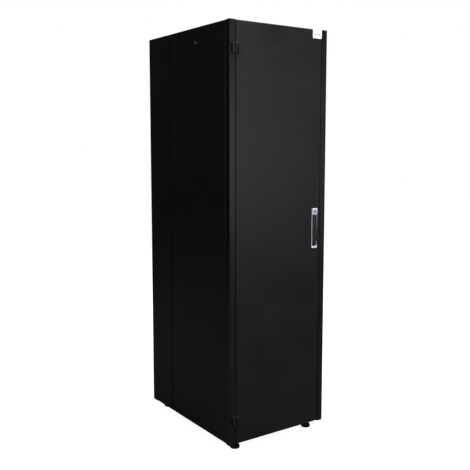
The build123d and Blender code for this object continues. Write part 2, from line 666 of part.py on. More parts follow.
def lever_pin():
    """The pin through the hub's cheeks and the lever's eye."""
    return rod_x(lift_axis_y(), PIVOT_Z, HANDLE_X - LEVER_WIDTH / 2, HANDLE_X + LEVER_WIDTH / 2, LEVER_PIN_RADIUS)


# Rack and pinion

def involute_point(base_radius, roll):
    """A point of the involute of a circle, as radius and angle."""
    return base_radius * (1 + roll * roll) ** 0.5, roll - atan(roll)


def pinion():
    """The spur pinion on the handle's shaft, one tooth pointing along +X."""
    base = PITCH_RADIUS * cos(radians(PRESSURE_ANGLE))
    tip = PITCH_RADIUS + PINION_ADDENDUM
    root = PITCH_RADIUS - RACK_ADDENDUM - ROOT_CLEARANCE
    pitch_roll = tan(radians(PRESSURE_ANGLE))
    half_tooth = (pi * MODULE / 2 - TOOTH_BACKLASH) / 2 / PITCH_RADIUS
    pitch_angle = pitch_roll - radians(PRESSURE_ANGLE)
    tip_roll = ((tip / base) ** 2 - 1) ** 0.5
    flank = []
    for step in range(6):
        radius, angle = involute_point(base, tip_roll * step / 5)
        flank.append((radius, half_tooth + pitch_angle - angle))
    flank.insert(0, (root - 1, flank[0][1]))
    upper = [(r * cos(a), r * sin(a)) for r, a in flank]
    lower = [(r * cos(a), -r * sin(a)) for r, a in reversed(flank)]
    tooth = make_face(Polyline(*upper, *lower, close=True))
    gear = Circle(root)
    for index in range(TEETH):
        gear += Rot(0, 0, index * 360 / TEETH) * tooth
    gear -= Circle(SHAFT_RADIUS + RUNNING_FIT / 2)
    solid = extrude(gear, GEAR_WIDTH / 2, both=True)
    return Pos(HANDLE_X, FRONT + ROD_SETBACK, PIVOT_Z) * Rot(90, 0, 0) * solid


def latch_rod(side, end_z):
    """A latch rod with its rack. Side -1 lies left of the pinion and runs up; side 1 runs down."""
    y0, y1 = FRONT + ROD_SETBACK - GEAR_WIDTH / 2, FRONT + ROD_SETBACK + GEAR_WIDTH / 2
    pitch = pi * MODULE
    slope = tan(radians(PRESSURE_ANGLE))
    dedendum = PINION_ADDENDUM + ROOT_CLEARANCE
    half_span = (RACK_TEETH + 1) * pitch / 2
    points = [(PITCH_RADIUS + dedendum + RACK_BACK, half_span), (PITCH_RADIUS + dedendum + RACK_BACK, -half_span)]
    points.append((PITCH_RADIUS + dedendum, -half_span))
    for index in range(RACK_TEETH + 1):
        centre = (index - RACK_TEETH / 2) * pitch
        half_pitch_line = (pitch / 2 - TOOTH_BACKLASH) / 2
        foot = half_pitch_line + dedendum * slope
        crest = half_pitch_line - RACK_ADDENDUM * slope
        points += [(PITCH_RADIUS + dedendum, centre - foot), (PITCH_RADIUS - RACK_ADDENDUM, centre - crest),
                   (PITCH_RADIUS - RACK_ADDENDUM, centre + crest), (PITCH_RADIUS + dedendum, centre + foot)]
    points.append((PITCH_RADIUS + dedendum, half_span))
    face = make_face(Polyline(*points, close=True))
    bar = Pos(HANDLE_X, y1, PIVOT_Z) * Rot(90, 0, 0) * extrude(face, GEAR_WIDTH)
    if side < 0:
        bar = Pos(HANDLE_X, 0, 0) * mirror(Pos(-HANDLE_X, 0, 0) * bar, about=Plane.YZ)
    start = PIVOT_Z - side * (half_span - 2)
    x = HANDLE_X + side * ROD_X
    low, high = min(start, end_z), max(start, end_z)
    shaft = rod_z(x, FRONT + ROD_SETBACK, low, high, ROD_RADIUS)
    return bar + shaft


def rod_guide(side, z):
    """A block on the door's inside that a latch rod slides in."""
    x = HANDLE_X + side * ROD_X
    y1 = FRONT + ROD_SETBACK + ROD_RADIUS + 4
    half = GUIDE_WIDTH / 2
    body = block(x - half, x + half, FRONT + SHEET, y1, z - GUIDE_HEIGHT / 2, z + GUIDE_HEIGHT / 2)
    return body - rod_z(x, FRONT + ROD_SETBACK, z - GUIDE_HEIGHT, z + GUIDE_HEIGHT, ROD_RADIUS + LOOSE_FIT)


def gearbox_cover():
    """The cover over the pinion and racks, open above and below for the rods."""
    half_x = ROD_X + ROD_RADIUS + 0.5 + GEARBOX_WALL
    y0, y1 = FRONT + DISH_DEPTH, FRONT + ROD_SETBACK + GEAR_WIDTH + 4
    outer = block(HANDLE_X - half_x, HANDLE_X + half_x, y0, y1, PIVOT_Z - GEARBOX_HALF_HEIGHT,
                  PIVOT_Z + GEARBOX_HALF_HEIGHT)
    inner = block(HANDLE_X - half_x + GEARBOX_WALL, HANDLE_X + half_x - GEARBOX_WALL, y0 + GEARBOX_WALL,
                  y1 - GEARBOX_WALL, PIVOT_Z - GEARBOX_HALF_HEIGHT - 1, PIVOT_Z + GEARBOX_HALF_HEIGHT + 1)
    bore = rod_y(HANDLE_X, PIVOT_Z, y0 - 1, y0 + GEARBOX_WALL + 1, SHAFT_RADIUS + RUNNING_FIT)
    return outer - inner - bore


def rod_keeper(side):
    """The wear plate round a latch rod's hole. Side -1 is under the top bar, 1 on the base bar."""
    x = HANDLE_X + side * ROD_X
    z0 = TOP_BAR_LOW - KEEPER_THICKNESS if side < 0 else FLOOR_Z
    z1 = z0 + KEEPER_THICKNESS
    half = KEEPER_WIDTH / 2
    plate = block(x - half, x + half, BAR_FRONT, BAR_FRONT + KEEPER_DEPTH, z0, z1)
    return plate - rod_z(x, FRONT + ROD_SETBACK, z0 - 1, z1 + 1, ROD_RADIUS + KEEPER_PLAY)


# Side panels and small locks

def side_panel():
    """The left removable side panel: a tray with a rolled edge and a hole for its lock."""
    x0 = -HALF - PANEL_PROUD
    outer = block(x0, -STEP_X, PANEL_FRONT, PANEL_REAR, DOOR_LOW, DOOR_HIGH)
    outer = fillet(outer.faces().sort_by(Axis.X)[0].edges(), EDGE_RADIUS)
    hollow = block(x0 + SHEET, -STEP_X - SHEET, PANEL_FRONT + SHEET, PANEL_REAR - SHEET, DOOR_LOW + SHEET,
                   DOOR_HIGH - SHEET)
    hollow = fillet(hollow.faces().sort_by(Axis.X)[0].edges(), EDGE_RADIUS - SHEET)
    window = block(-STEP_X - 2 * SHEET, -STEP_X + 1, PANEL_FRONT + PANEL_LIP, PANEL_REAR - PANEL_LIP,
                   DOOR_LOW + PANEL_LIP, DOOR_HIGH - TOP_BAR_CLEAR)
    y, z = FRONT + SIDE_LOCK_REAR, TOP - SIDE_LOCK_DROP
    hole = rod_x(y, z, x0 - 1, x0 + SHEET + 1, CYLINDER_RADIUS + LOOSE_FIT)
    return outer - hollow - window - hole


def side_lock():
    """The left panel's lock: a round face, a slotted cylinder through the sheet, and its cam."""
    x0 = -HALF - PANEL_PROUD
    y, z = FRONT + SIDE_LOCK_REAR, TOP - SIDE_LOCK_DROP
    face = rod_x(y, z, x0 - 2.0, x0, SIDE_LOCK_RADIUS)
    face = fillet(face.faces().sort_by(Axis.X)[0].edges(), 0.8)
    cylinder = rod_x(y, z, x0, x0 + 9, CYLINDER_RADIUS)
    slot = block(x0 - 3, x0 + 3, y - 1.2, y + 1.2, z - 5, z + 5)
    cam = block(x0 + 9, x0 + 9 + CAM_THICKNESS, y - CAM_WIDTH / 2, y + CAM_WIDTH / 2, z - CAM_WIDTH / 2,
                TOP_BAR_LOW - ROD_END_GAP)
    return (face + cylinder - slot) + cam


def side_keeper():
    """The lip on the left top bar that the panel lock's cam turns behind."""
    y = FRONT + SIDE_LOCK_REAR
    x0 = -HALF - PANEL_PROUD + 9 - LOOSE_FIT
    lip = block(x0 - SHEET, x0, y - 20, y + 20, TOP_BAR_LOW, TOP_BAR_LOW + 20)
    web = block(x0 - SHEET, -STEP_X, y - 20, y + 20, TOP_BAR_LOW + 20, TOP_BAR_LOW + 20 + SHEET)
    return lip + web


def rear_lock():
    """The rear door's lock: a round knob outside, its cylinder and the cam inside."""
    x, z = DOOR_HALF - REAR_LOCK_INSET, REAR_LOCK_HEIGHT
    face = rod_y(x, z, FRONT - 6, FRONT, SIDE_LOCK_RADIUS)
    face = fillet(face.faces().sort_by(Axis.Y)[0].edges(), 1.0)
    reach = BEZEL_PROUD + LEVER_GAP + LEVER_THICKNESS
    wing = block(x - 3, x + 3, FRONT - reach, FRONT - 5, z - 11, z + 11)
    y1 = BAR_FRONT + 2
    cylinder = rod_y(x, z, FRONT, y1, CYLINDER_RADIUS)
    cam = block(x - CAM_WIDTH / 2, POST_INNER - CAM_END_GAP, y1, y1 + CAM_THICKNESS, z - CAM_WIDTH / 2,
                z + CAM_WIDTH / 2)
    return turned(face + wing + cylinder + cam)


# Levelling feet and small pieces

def foot_pad(x, y):
    """A foot's pad: a round base with a blind socket for the stud."""
    base = rod_z(x, y, 0, FOOT_RIM_HEIGHT, FOOT_RADIUS)
    base = fillet(base.faces().sort_by(Axis.Z)[-1].edges(), FOOT_ROUNDING)
    boss = rod_z(x, y, 0, FOOT_PAD_HEIGHT, FOOT_BOSS_RADIUS)
    socket = rod_z(x, y, FOOT_SOCKET_LOW, FOOT_PAD_HEIGHT + 1, STUD_RADIUS + RUNNING_FIT)
    return base + boss - socket


def foot_stud(x, y):
    """A foot's stud with the hexagon that a spanner turns."""
    low = FOOT_SOCKET_LOW
    high = FLOOR_Z - BAR_WALL - 2
    stud = rod_z(x, y, low, high, STUD_RADIUS)
    flats = RegularPolygon(STUD_HEX / 2, 6, major_radius=False)
    hexagon = Pos(x, y, FOOT_PAD_HEIGHT + HEX_GAP) * extrude(flats, HEX_HEIGHT)
    return stud + hexagon


def foot_insert(x, y):
    """The threaded insert on the base bar's lower wall."""
    z0 = BOTTOM + BAR_WALL
    return rod_z(x, y, z0, z0 + INSERT_HEIGHT, INSERT_RADIUS) - rod_z(x, y, z0 - 1, z0 + INSERT_HEIGHT + 1,
                                                                     STUD_RADIUS + RUNNING_FIT)


def earth_bar():
    """The earthing bar on the floor, with its two studs."""
    y = REAR - DOOR_THICKNESS - GASKET_THICKNESS - BAR_DEPTH - 20
    z = FLOOR_Z + SHEET
    half = EARTH_BAR_LENGTH / 2
    bar = block(-half, half, y - 10, y + 10, z + 10, z + 14)
    studs = []
    for x in (-half + 15, half - 15):
        bar -= rod_z(x, y, z + 9, z + 15, SCREW_RADIUS + RUNNING_FIT)
        post = rod_z(x, y, z, z + 10, SCREW_HEAD_RADIUS)
        studs.append(post + rod_z(x, y, z + 10, z + 22, SCREW_RADIUS))
    return [bar, *studs]


def panel_screws():
    """The screw heads that hold the roof and the floor to the frame bars."""
    heads = []
    y = BAR_FRONT + BAR_DEPTH / 4
    for z in (DOOR_HIGH, FLOOR_Z + SHEET):
        shift = 0 if z == DOOR_HIGH else BAR_DEPTH / 2 - 4
        for side_x in (-1, 1):
            for side_y in (-1, 1):
                heads.append(rod_z(side_x * 200, side_y * (-y - shift), z, z + SCREW_HEAD_HEIGHT,
                                   SCREW_HEAD_RADIUS))
    return heads


def write_frame():
    """Write the cabinet's fixed pieces."""
    left_post = front_post()
    windows = [hinge_window(z) for z in (HINGE_LOW, HINGE_HIGH)]
    save("front_post_left", left_post)
    save("front_post_right", mirrored(left_post - windows))
    save("rear_post_left", rear_post())
    save("rear_post_right", mirrored(rear_post()))
    save("hinge_blanks", *[mirrored(hinge_blank(z)) for z in (HINGE_LOW, HINGE_HIGH)])
    save("base_frame", *base_frame())
    save("top_frame", *top_frame())
    save("seam_uprights", seam_upright(), mirrored(seam_upright()))
    rails = [depth_rail(level) for level in DEPTH_RAIL_LEVELS]
    save("depth_rails", *rails, *[mirrored(rail) for rail in rails])
    save("roof_panel", roof_panel())
    save("floor_panel", floor_panel())
    save("cable_entry_trims", cable_entry_trim(DOOR_HIGH), cable_entry_trim(FLOOR_Z + SHEET))
    save("rear_side_panel_left", rear_side_panel())
    save("rear_side_panel_right", mirrored(rear_side_panel()))
    save("earth_bar", *earth_bar())
    save("panel_screws", *panel_screws())
    save("rod_keepers", rod_keeper(-1), rod_keeper(1))
    save("side_lock_keepers", side_keeper(), mirrored(side_keeper()))


def write_rails():
    """Write the two pairs of mounting rails."""
    for name, front_y, inward in (("front", FRONT + RAIL_SETBACK_FRONT, 1), ("rear", REAR - RAIL_SETBACK_REAR, -1)):
        rails, bolts = rail_pair(front_y, inward)
        save(f"{name}_mounting_rails", *rails)
        save(f"{name}_rail_bolts", *bolts)


def write_doors():
    """Write both doors, their hinges and what is fixed to them."""
    heights = (HINGE_LOW, HINGE_HIGH)
    post_leaves = [hinge_half(z, -1, -1) for z in heights]
    door_leaves = [hinge_half(z, 1, 1) for z in heights]
    pins = [hinge_pin(z) for z in heights]
    stiffeners = [door_stiffener(x) for x in (-STIFFENER_X, STIFFENER_X)]
    save("post_hinge_leaves", *post_leaves, *[turned(leaf) for leaf in post_leaves])
    save("hinge_pins", *pins, *[turned(pin) for pin in pins])
    save("front_door_skin", front_door_skin())
    save("front_door_stiffeners", *stiffeners)
    save("front_door_gasket", door_gasket())
    save("front_door_hinge_leaves", *door_leaves)
    save("label_plate", label_plate())
    save("rear_door_skin", rear_door_skin())
    save("rear_door_stiffeners", *[turned(piece) for piece in stiffeners])
    save("rear_door_gasket", turned(door_gasket()))
    save("rear_door_hinge_leaves", *[turned(leaf) for leaf in door_leaves])
    save("rear_lock", rear_lock())


def write_handle():
    """Write the swing handle, its lock, its gear and the two latch rods."""
    upper_end = TOP_BAR_LOW - KEEPER_THICKNESS - ROD_END_GAP
    lower_end = FLOOR_Z + KEEPER_THICKNESS + ROD_END_GAP
    save("handle_housing", handle_housing())
    save("lock_cap", lock_cap())
    save("lock_cover", lock_cover())
    save("key_cylinder", *key_cylinder())
    save("handle_hub", handle_hub())
    save("handle_lever", handle_lever())
    save("lever_pin", lever_pin())
    save("handle_pinion", pinion())
    save("upper_latch_rod", latch_rod(-1, upper_end))
    save("lower_latch_rod", latch_rod(1, lower_end))
    guides = [rod_guide(-1, upper_end - step) for step in GUIDE_STEPS]
    guides += [rod_guide(1, lower_end + step) for step in GUIDE_STEPS]
    save("rod_guides", *guides)
    save("gearbox_cover", gearbox_cover())


def write_side_panels():
    """Write the removable side panels and their locks."""
    save("side_panel_left", side_panel())
    save("side_panel_right", mirrored(side_panel()))
    save("side_lock_left", side_lock())
    save("side_lock_right", mirrored(side_lock()))


def write_feet():
    """Write the four levelling feet and the inserts that carry them."""
    places = foot_places()
    save("foot_inserts", *[foot_insert(x, y) for x, y in places.values()])
    for name, (x, y) in places.items():
        save(f"foot_pad_{name}", foot_pad(x, y))
        save(f"foot_stud_{name}", foot_stud(x, y))


os.makedirs("parts", exist_ok=True)
write_frame()
write_rails()
write_doors()
write_handle()
write_side_panels()
write_feet()
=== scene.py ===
"""A network server rack cabinet: finishes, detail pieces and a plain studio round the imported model."""

import logging
import math
from dataclasses import dataclass, field
from enum import Enum

import bmesh
import bpy
from mathutils import Matrix, Vector

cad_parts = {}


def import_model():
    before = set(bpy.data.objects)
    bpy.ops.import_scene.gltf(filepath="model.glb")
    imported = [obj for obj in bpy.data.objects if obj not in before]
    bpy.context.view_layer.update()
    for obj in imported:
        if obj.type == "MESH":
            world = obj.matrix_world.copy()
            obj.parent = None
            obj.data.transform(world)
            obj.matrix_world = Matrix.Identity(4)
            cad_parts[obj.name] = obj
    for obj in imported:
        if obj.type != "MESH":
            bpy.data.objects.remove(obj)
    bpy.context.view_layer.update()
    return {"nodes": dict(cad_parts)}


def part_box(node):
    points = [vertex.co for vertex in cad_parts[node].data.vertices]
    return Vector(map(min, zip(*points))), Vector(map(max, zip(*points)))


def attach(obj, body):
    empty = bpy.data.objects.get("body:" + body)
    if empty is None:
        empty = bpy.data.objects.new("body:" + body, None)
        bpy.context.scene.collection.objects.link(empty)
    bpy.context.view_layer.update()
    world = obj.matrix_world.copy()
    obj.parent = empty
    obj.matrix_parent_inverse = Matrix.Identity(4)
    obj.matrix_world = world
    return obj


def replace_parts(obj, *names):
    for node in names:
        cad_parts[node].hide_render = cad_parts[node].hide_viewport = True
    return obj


MM = 0.001
LOG = logging.getLogger("rack_cabinet")

# Noise keeps mostly between these two values
NOISE_LOW = 0.3
NOISE_HIGH = 0.7

WHITE = (1.0, 1.0, 1.0, 1.0)


class Axis(Enum):
    """The axis that a turned or extruded piece lies along."""

    X = (1.0, 0.0, 0.0)
    Y = (0.0, 1.0, 0.0)
    Z = (0.0, 0.0, 1.0)

    @property
    def vector(self) -> Vector:
        """The axis as a vector."""
        return Vector(self.value)


# Materials


def linear(hex_colour: str) -> tuple[float, float, float, float]:
    """Turn an sRGB hex colour into linear RGBA.

    Args:
        hex_colour: six hexadecimal digits after a hash sign.

    Returns:
        The colour's linear red, green and blue, and an alpha of 1.
    """
    channels = [int(hex_colour[at : at + 2], 16) / 255 for at in (1, 3, 5)]
    straight = [c / 12.92 if c <= 0.04045 else ((c + 0.055) / 1.055) ** 2.4 for c in channels]
    return (*straight, 1.0)


def add_node(tree: bpy.types.NodeTree, kind: str, inputs: dict[str | int, object] | None = None,
             **settings: object) -> bpy.types.Node:
    """Add a node, set its properties and fill or link its inputs.

    Args:
        tree: the node tree to add to.
        kind: the node's type name.
        inputs: a value or an output socket for each named or numbered input.
        **settings: properties of the node itself.

    Returns:
        The new node.
    """
    node = tree.nodes.new(kind)
    for name, value in settings.items():
        setattr(node, name, value)
    for name, value in (inputs or {}).items():
        if isinstance(value, bpy.types.NodeSocket):
            tree.links.new(value, node.inputs[name])
        else:
            node.inputs[name].default_value = value
    return node


@dataclass(frozen=True)
class Finish:
    """A surface finish. Each kind of finish says how its shader is made."""

    name: str
    dark: str = "#000000"
    light: str = "#ffffff"

    def material(self) -> bpy.types.Material:
        """Build the finish the first time, and hand back the same material afterwards.

        Returns:
            The finish's material.
        """
        known = bpy.data.materials.get(self.name)
        if known:
            return known
        made = bpy.data.materials.new(self.name)
        made.use_nodes = True
        tree = made.node_tree
        tree.nodes.clear()
        place = add_node(tree, "ShaderNodeTexCoord").outputs["Object"]
        shader = self.dress(tree, place)
        add_node(tree, "ShaderNodeOutputMaterial", {"Surface": shader.outputs[0]})
        return made

    def dress(self, tree: bpy.types.NodeTree, place: bpy.types.NodeSocket) -> bpy.types.Node:
        """Make the finish's shader; each kind of finish has its own.

        Args:
            tree: the material's node tree.
            place: the coordinates that the patterns read.

        Returns:
            The shader's node.
        """
        raise NotImplementedError

    @staticmethod
    def pattern(tree: bpy.types.NodeTree, place: bpy.types.NodeSocket, size_mm: float, detail: float,
                stretch: tuple[float, float, float] = (1.0, 1.0, 1.0)) -> bpy.types.NodeSocket:
        """A noise pattern of a real size.

        Args:
            tree: the node tree.
            place: the coordinates that the pattern reads.
            size_mm: the size of one patch, in millimetres.
            detail: how many finer layers the noise has.
            stretch: how much the pattern is squeezed along each axis.

        Returns:
            The pattern's value, about a half on average.
        """
        laid = add_node(tree, "ShaderNodeMapping", {"Vector": place, "Scale": stretch})
        noise = add_node(tree, "ShaderNodeTexNoise",
                         {"Vector": laid.outputs[0], "Scale": 1 / (size_mm * MM), "Detail": detail})
        return noise.outputs["Fac"]

    def mottle(self, tree: bpy.types.NodeTree, value: bpy.types.NodeSocket, start: float = NOISE_LOW,
               end: float = NOISE_HIGH) -> bpy.types.NodeSocket:
        """Blend the finish's dark and light colours by a pattern.

        Args:
            tree: the node tree.
            value: the pattern.
            start: the pattern's value where the colour is all dark.
            end: the pattern's value where the colour is all light.

        Returns:
            The colour.
        """
        blend = add_node(tree, "ShaderNodeMapRange", {"Value": value, "From Min": start, "From Max": end})
        ramp = add_node(tree, "ShaderNodeValToRGB", {"Fac": blend.outputs[0]})
        ramp.color_ramp.elements[0].color = linear(self.dark)
        ramp.color_ramp.elements[1].color = linear(self.light)
        return ramp.outputs[0]

    def grain(self, tree: bpy.types.NodeTree, place: bpy.types.NodeSocket, size_mm: float, depth_mm: float,
              detail: float = 1.0, stretch: tuple[float, float, float] = (1.0, 1.0, 1.0),
              under: bpy.types.NodeSocket | None = None) -> bpy.types.NodeSocket:
        """Raise a fine pattern into a bumped normal.

        Args:
            tree: the node tree.
            place: the coordinates that the pattern reads.
            size_mm: the size of one grain, in millimetres.
            depth_mm: the relief's depth, in millimetres.
            detail: how many finer layers the noise has.
            stretch: how much the pattern is squeezed along each axis.
            under: a coarser relief that this one lies on.

        Returns:
            The bumped normal.
        """
        height = self.pattern(tree, place, size_mm, detail, stretch)
        inputs: dict[str | int, object] = {"Height": height, "Distance": depth_mm * MM, "Strength": 1.0}
        if under is not None:
            inputs["Normal"] = under
        return add_node(tree, "ShaderNodeBump", inputs).outputs[0]


@dataclass(frozen=True)
class PowderCoat(Finish):
    """Polyester powder baked on sheet steel: a satin coat with an orange-peel skin and faint marks."""

    dark: str = "#070707"
    light: str = "#0b0b0c"
    roughness: float = 0.42
    glossier: float = 0.03
    duller: float = 0.05
    ior: float = 1.5
    peel_mm: float = 2.2
    peel_depth_mm: float = 0.012
    # A real powder grain is under 0.1 mm, and is drawn coarser so that it shows
    speck_mm: float = 0.7
    speck_depth_mm: float = 0.006
    mark_mm: float = 160.0

    def dress(self, tree: bpy.types.NodeTree, place: bpy.types.NodeSocket) -> bpy.types.Node:
        """Make the coat: mottled black, uneven gloss, orange peel under a finer grain.

        Args:
            tree: the material's node tree.
            place: the coordinates that the patterns read.

        Returns:
            The shader's node.
        """
        # Powder flows out unevenly in the oven, so neither the black nor the gloss is quite even
        marks = self.pattern(tree, place, self.mark_mm, 5.0)
        gloss = add_node(tree, "ShaderNodeMapRange",
                         {"Value": marks, "From Min": NOISE_LOW, "From Max": NOISE_HIGH,
                          "To Min": self.roughness - self.glossier, "To Max": self.roughness + self.duller})
        peel = self.grain(tree, place, self.peel_mm, self.peel_depth_mm)
        specks = self.grain(tree, place, self.speck_mm, self.speck_depth_mm, under=peel)
        return add_node(tree, "ShaderNodeBsdfPrincipled",
                        {"Base Color": self.mottle(tree, marks), "Roughness": gloss.outputs[0],
                         "IOR": self.ior, "Normal": specks})


@dataclass(frozen=True)
class PlatedZinc(Finish):
    """A satin plate on cast zinc or steel: bright, with soft flow marks from the mould or the bath."""

    dark: str = "#b9bbc0"
    light: str = "#e2e3e6"
    roughness: float = 0.28
    glossier: float = 0.06
    duller: float = 0.08
    flow_mm: float = 18.0
    # A real plate's grain is some hundredths of a millimetre, and is drawn coarser so that it shows
    grain_mm: float = 0.5
    grain_depth_mm: float = 0.004

    def dress(self, tree: bpy.types.NodeTree, place: bpy.types.NodeSocket) -> bpy.types.Node:
        """Make the plate: a bright metal with uneven gloss and a faint grain.

        Args:
            tree: the material's node tree.
            place: the coordinates that the patterns read.

        Returns:
            The shader's node.
        """
        flow = self.pattern(tree, place, self.flow_mm, 4.0)
        gloss = add_node(tree, "ShaderNodeMapRange",
                         {"Value": flow, "From Min": NOISE_LOW, "From Max": NOISE_HIGH,
                          "To Min": self.roughness - self.glossier, "To Max": self.roughness + self.duller})
        return add_node(tree, "ShaderNodeBsdfPrincipled",
                        {"Base Color": self.mottle(tree, flow), "Metallic": 1.0,
                         "Roughness": gloss.outputs[0],
                         "Normal": self.grain(tree, place, self.grain_mm, self.grain_depth_mm)})


@dataclass(frozen=True)
class SilverPaint(Finish):
    """Light silver lacquer on a die-cast cap: pale, with metal flakes under a clear coat."""

    dark: str = "#d4d5da"
    light: str = "#f2f2f6"
    roughness: float = 0.34
    metal_share: float = 0.25
    # Real flakes are under 0.05 mm, and are drawn coarser so that they show
    flake_mm: float = 0.4
    flake_depth_mm: float = 0.003
    clear_coat: float = 0.4
    coat_roughness: float = 0.15

    def dress(self, tree: bpy.types.NodeTree, place: bpy.types.NodeSocket) -> bpy.types.Node:
        """Make the lacquer: flakes of two greys under a clear coat.

        Args:
            tree: the material's node tree.
            place: the coordinates that the patterns read.

        Returns:
            The shader's node.
        """
        flakes = self.pattern(tree, place, self.flake_mm, 1.0)
        return add_node(tree, "ShaderNodeBsdfPrincipled",
                        {"Base Color": self.mottle(tree, flakes), "Metallic": self.metal_share,
                         "Roughness": self.roughness,
                         "Normal": self.grain(tree, place, self.flake_mm, self.flake_depth_mm),
                         "Coat Weight": self.clear_coat, "Coat Roughness": self.coat_roughness})


@dataclass(frozen=True)
class GalvanisedSteel(Finish):
    """Zinc-coated sheet: grey spangle, each crystal a little lighter or duller, and rolling streaks."""

    dark: str = "#7d8186"
    light: str = "#b4b8bd"
    roughness: float = 0.36
    glossier: float = 0.08
    duller: float = 0.12
    spangle_mm: float = 9.0
    # Real rolling streaks are some tenths of a millimetre wide, and are drawn coarser so that they show
    streak_mm: float = 1.5
    streak_depth_mm: float = 0.01
    streak_stretch: tuple[float, float, float] = (1.0, 1.0, 0.05)

    def dress(self, tree: bpy.types.NodeTree, place: bpy.types.NodeSocket) -> bpy.types.Node:
        """Make the spangle from cells of a real size, streaked along the rolling direction.

        Args:
            tree: the material's node tree.
            place: the coordinates that the patterns read.

        Returns:
            The shader's node.
        """
        cells = add_node(tree, "ShaderNodeTexVoronoi", {"Vector": place, "Scale": 1 / (self.spangle_mm * MM)})
        shades = add_node(tree, "ShaderNodeSeparateColor", {"Color": cells.outputs["Color"]})
        crystal = shades.outputs[0]
        gloss = add_node(tree, "ShaderNodeMapRange",
                         {"Value": crystal, "To Min": self.roughness - self.glossier,
                          "To Max": self.roughness + self.duller})
        streaks = self.grain(tree, place, self.streak_mm, self.streak_depth_mm, 2.0, self.streak_stretch)
        return add_node(tree, "ShaderNodeBsdfPrincipled",
                        {"Base Color": self.mottle(tree, crystal, 0.0, 1.0), "Metallic": 1.0,
                         "Roughness": gloss.outputs[0], "Normal": streaks})


@dataclass(frozen=True)
class Rubber(Finish):
    """Extruded rubber or foam strip: dull black with an open grain and a grey bloom."""

    dark: str = "#0d0d0e"
    light: str = "#1c1c1d"
    roughness: float = 0.85
    ior: float = 1.52
    bloom_mm: float = 25.0
    grain_mm: float = 0.9
    grain_depth_mm: float = 0.08

    def dress(self, tree: bpy.types.NodeTree, place: bpy.types.NodeSocket) -> bpy.types.Node:
        """Make the rubber: a bloom of lighter grey and a pitted skin.

        Args:
            tree: the material's node tree.
            place: the coordinates that the patterns read.

        Returns:
            The shader's node.
        """
        bloom = self.pattern(tree, place, self.bloom_mm, 4.0)
        return add_node(tree, "ShaderNodeBsdfPrincipled",
                        {"Base Color": self.mottle(tree, bloom), "Roughness": self.roughness, "IOR": self.ior,
                         "Normal": self.grain(tree, place, self.grain_mm, self.grain_depth_mm, 3.0)})


@dataclass(frozen=True)
class MouldedPlastic(Finish):
    """Moulded or lacquered surface: even colour with a fine grain from the mould or the spray."""

    dark: str = "#0e0e10"
    light: str = "#17171a"
    roughness: float = 0.4
    glossier: float = 0.04
    duller: float = 0.06
    ior: float = 1.53
    cloud_mm: float = 14.0
    # A real mould's grain is about 0.1 mm, and is drawn coarser so that it shows
    grain_mm: float = 0.6
    depth_mm: float = 0.02
    coat: float = 0.0
    coat_roughness: float = 0.08

    def dress(self, tree: bpy.types.NodeTree, place: bpy.types.NodeSocket) -> bpy.types.Node:
        """Make the plastic: a slightly clouded colour and the mould's grain.

        Args:
            tree: the material's node tree.
            place: the coordinates that the patterns read.

        Returns:
            The shader's node.
        """
        cloud = self.pattern(tree, place, self.cloud_mm, 3.0)
        gloss = add_node(tree, "ShaderNodeMapRange",
                         {"Value": cloud, "From Min": NOISE_LOW, "From Max": NOISE_HIGH,
                          "To Min": self.roughness - self.glossier, "To Max": self.roughness + self.duller})
        return add_node(tree, "ShaderNodeBsdfPrincipled",
                        {"Base Color": self.mottle(tree, cloud), "Roughness": gloss.outputs[0],
                         "IOR": self.ior, "Normal": self.grain(tree, place, self.grain_mm, self.depth_mm),
                         "Coat Weight": self.coat, "Coat Roughness": self.coat_roughness})


@dataclass(frozen=True)
class DrawnBrass(Finish):
    """Drawn brass bar: warm metal with draw lines along it and dull patches where air has reached it."""

    dark: str = "#8c6b3a"
    light: str = "#c9a25c"
    tarnished_roughness: float = 0.42
    bright_roughness: float = 0.26
    tarnish_mm: float = 12.0
    # Real draw lines are about 0.1 mm apart, and are drawn coarser so that they show
    line_mm: float = 0.8
    line_depth_mm: float = 0.01
    line_stretch: tuple[float, float, float] = (0.03, 1.0, 1.0)

    def dress(self, tree: bpy.types.NodeTree, place: bpy.types.NodeSocket) -> bpy.types.Node:
        """Make the brass: patches of tarnish over draw lines along X.

        Args:
            tree: the material's node tree.
            place: the coordinates that the patterns read.

        Returns:
            The shader's node.
        """
        tarnish = self.pattern(tree, place, self.tarnish_mm, 4.0)
        gloss = add_node(tree, "ShaderNodeMapRange",
                         {"Value": tarnish, "From Min": NOISE_LOW, "From Max": NOISE_HIGH,
                          "To Min": self.tarnished_roughness, "To Max": self.bright_roughness})
        lines = self.grain(tree, place, self.line_mm, self.line_depth_mm, 2.0, self.line_stretch)
        return add_node(tree, "ShaderNodeBsdfPrincipled",
                        {"Base Color": self.mottle(tree, tarnish), "Metallic": 1.0,
                         "Roughness": gloss.outputs[0], "Normal": lines})


# The big panels: a soft grey sheen on black, a little uneven from one patch to the next
BODY_COAT = PowderCoat("satin_black_powder_coat_on_steel")
# The rolled posts: smoother than the panels, so their edges catch a tighter light
POST_COAT = PowderCoat("smooth_black_powder_coat_on_corner_posts", roughness=0.34, peel_mm=2.6)
# The frame behind the doors: a flat black that keeps back from the light
INNER_COAT = PowderCoat("matt_black_powder_coat_on_frame_bars", roughness=0.5, mark_mm=90.0)
# The cast hinges and panel locks: a shade lighter than the sheet, so they read as small raised parts
HINGE_COAT = PowderCoat("black_powder_coat_on_die_cast_hinges", dark="#0d0d0f", light="#131316",
                        roughness=0.34, peel_mm=1.2, mark_mm=30.0)
# The handle's surround: a mid grey frame that stands out on the black door
HANDLE_PLATE = SilverPaint("pewter_grey_lacquer_on_die_cast_zinc", dark="#b4b7bb", light="#c0c3c7",
                           roughness=0.42)
# The locks' faces: the brightest metal, a small glint
LOCK_PLATE = PlatedZinc("bright_chrome_on_lock_face", dark="#c8cace", light="#efeff2", roughness=0.16)
